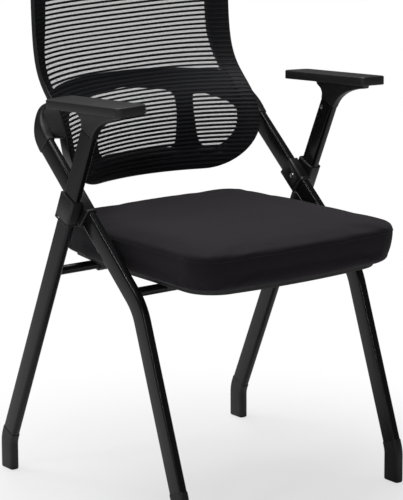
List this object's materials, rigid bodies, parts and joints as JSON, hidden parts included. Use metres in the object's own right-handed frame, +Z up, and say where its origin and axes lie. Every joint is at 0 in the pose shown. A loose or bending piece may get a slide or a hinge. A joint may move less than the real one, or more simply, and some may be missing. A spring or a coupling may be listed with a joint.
{
  "type": "nesting chair",
  "caption": "Folding armchair with crossed tube legs that turn on a pivot, a dished mesh back with a lumbar plate and a flip-up seat.",
  "frame": {"origin": "middle of the chair's footprint on the floor", "axes": "+Z up, the sitter faces -Y, X across the chair"},
  "size_m": [0.5684, 0.5414, 0.95],
  "materials": {
    "black_steel": "satin black powder coat",
    "bright_steel": "zinc plated",
    "black_plastic": "fine grain",
    "boot_plastic": "satin",
    "arm_pad_plastic": "soft grain",
    "bush_plastic": "natural nylon",
    "mesh_cloth": "woven mesh",
    "seat_cloth": "woven",
    "pan_board": "matt"
  },
  "bodies": {
    "front_frame": {"front_tube_left": "black_steel", "front_tube_right": "black_steel", "front_cross_tube": "black_steel", "front_collar_left": "black_plastic", "front_collar_right": "black_plastic", "front_boot_left": "boot_plastic", "front_boot_right": "boot_plastic", "pivot_bolt_left": "bright_steel", "pivot_bolt_right": "bright_steel", "pivot_nut_left": "bright_steel", "pivot_nut_right": "bright_steel", "back_frame": "black_plastic", "back_mesh": "mesh_cloth", "lumbar_plate": "black_plastic", "back_bracket_left": "black_plastic", "back_bracket_right": "black_plastic", "back_screws": "bright_steel"},
    "rear_frame": {"rear_tube_left": "black_steel", "rear_tube_right": "black_steel", "rear_cross_tube": "black_steel", "rear_collar_left": "black_plastic", "rear_collar_right": "black_plastic", "rear_boot_left": "boot_plastic", "rear_boot_right": "boot_plastic", "pivot_bush_left": "bush_plastic", "pivot_bush_right": "bush_plastic", "collar_screws": "bright_steel", "arm_stem_left": "black_plastic", "arm_stem_right": "black_plastic", "arm_pad_left": "arm_pad_plastic", "arm_pad_right": "arm_pad_plastic", "arm_screws": "bright_steel"},
    "seat": {"seat_pan": "pan_board", "seat_cushion": "seat_cloth", "seat_hinge_left": "black_plastic", "seat_hinge_right": "black_plastic", "seat_rest_left": "black_plastic", "seat_rest_right": "black_plastic", "seat_screws": "bright_steel"}
  },
  "joints": [
    {"name": "frame_fold", "type": "hinge", "parent": "front_frame", "child": "rear_frame", "pos_m": [0, 0.0525, 0.4988], "axis": [-1, 0, 0], "range_deg": [0, 30]},
    {"name": "seat_flip", "type": "hinge", "parent": "rear_frame", "child": "seat", "pos_m": [0, 0.10479, 0.383], "axis": [-1, 0, 0], "range_deg": [0, 54]}
  ]
}
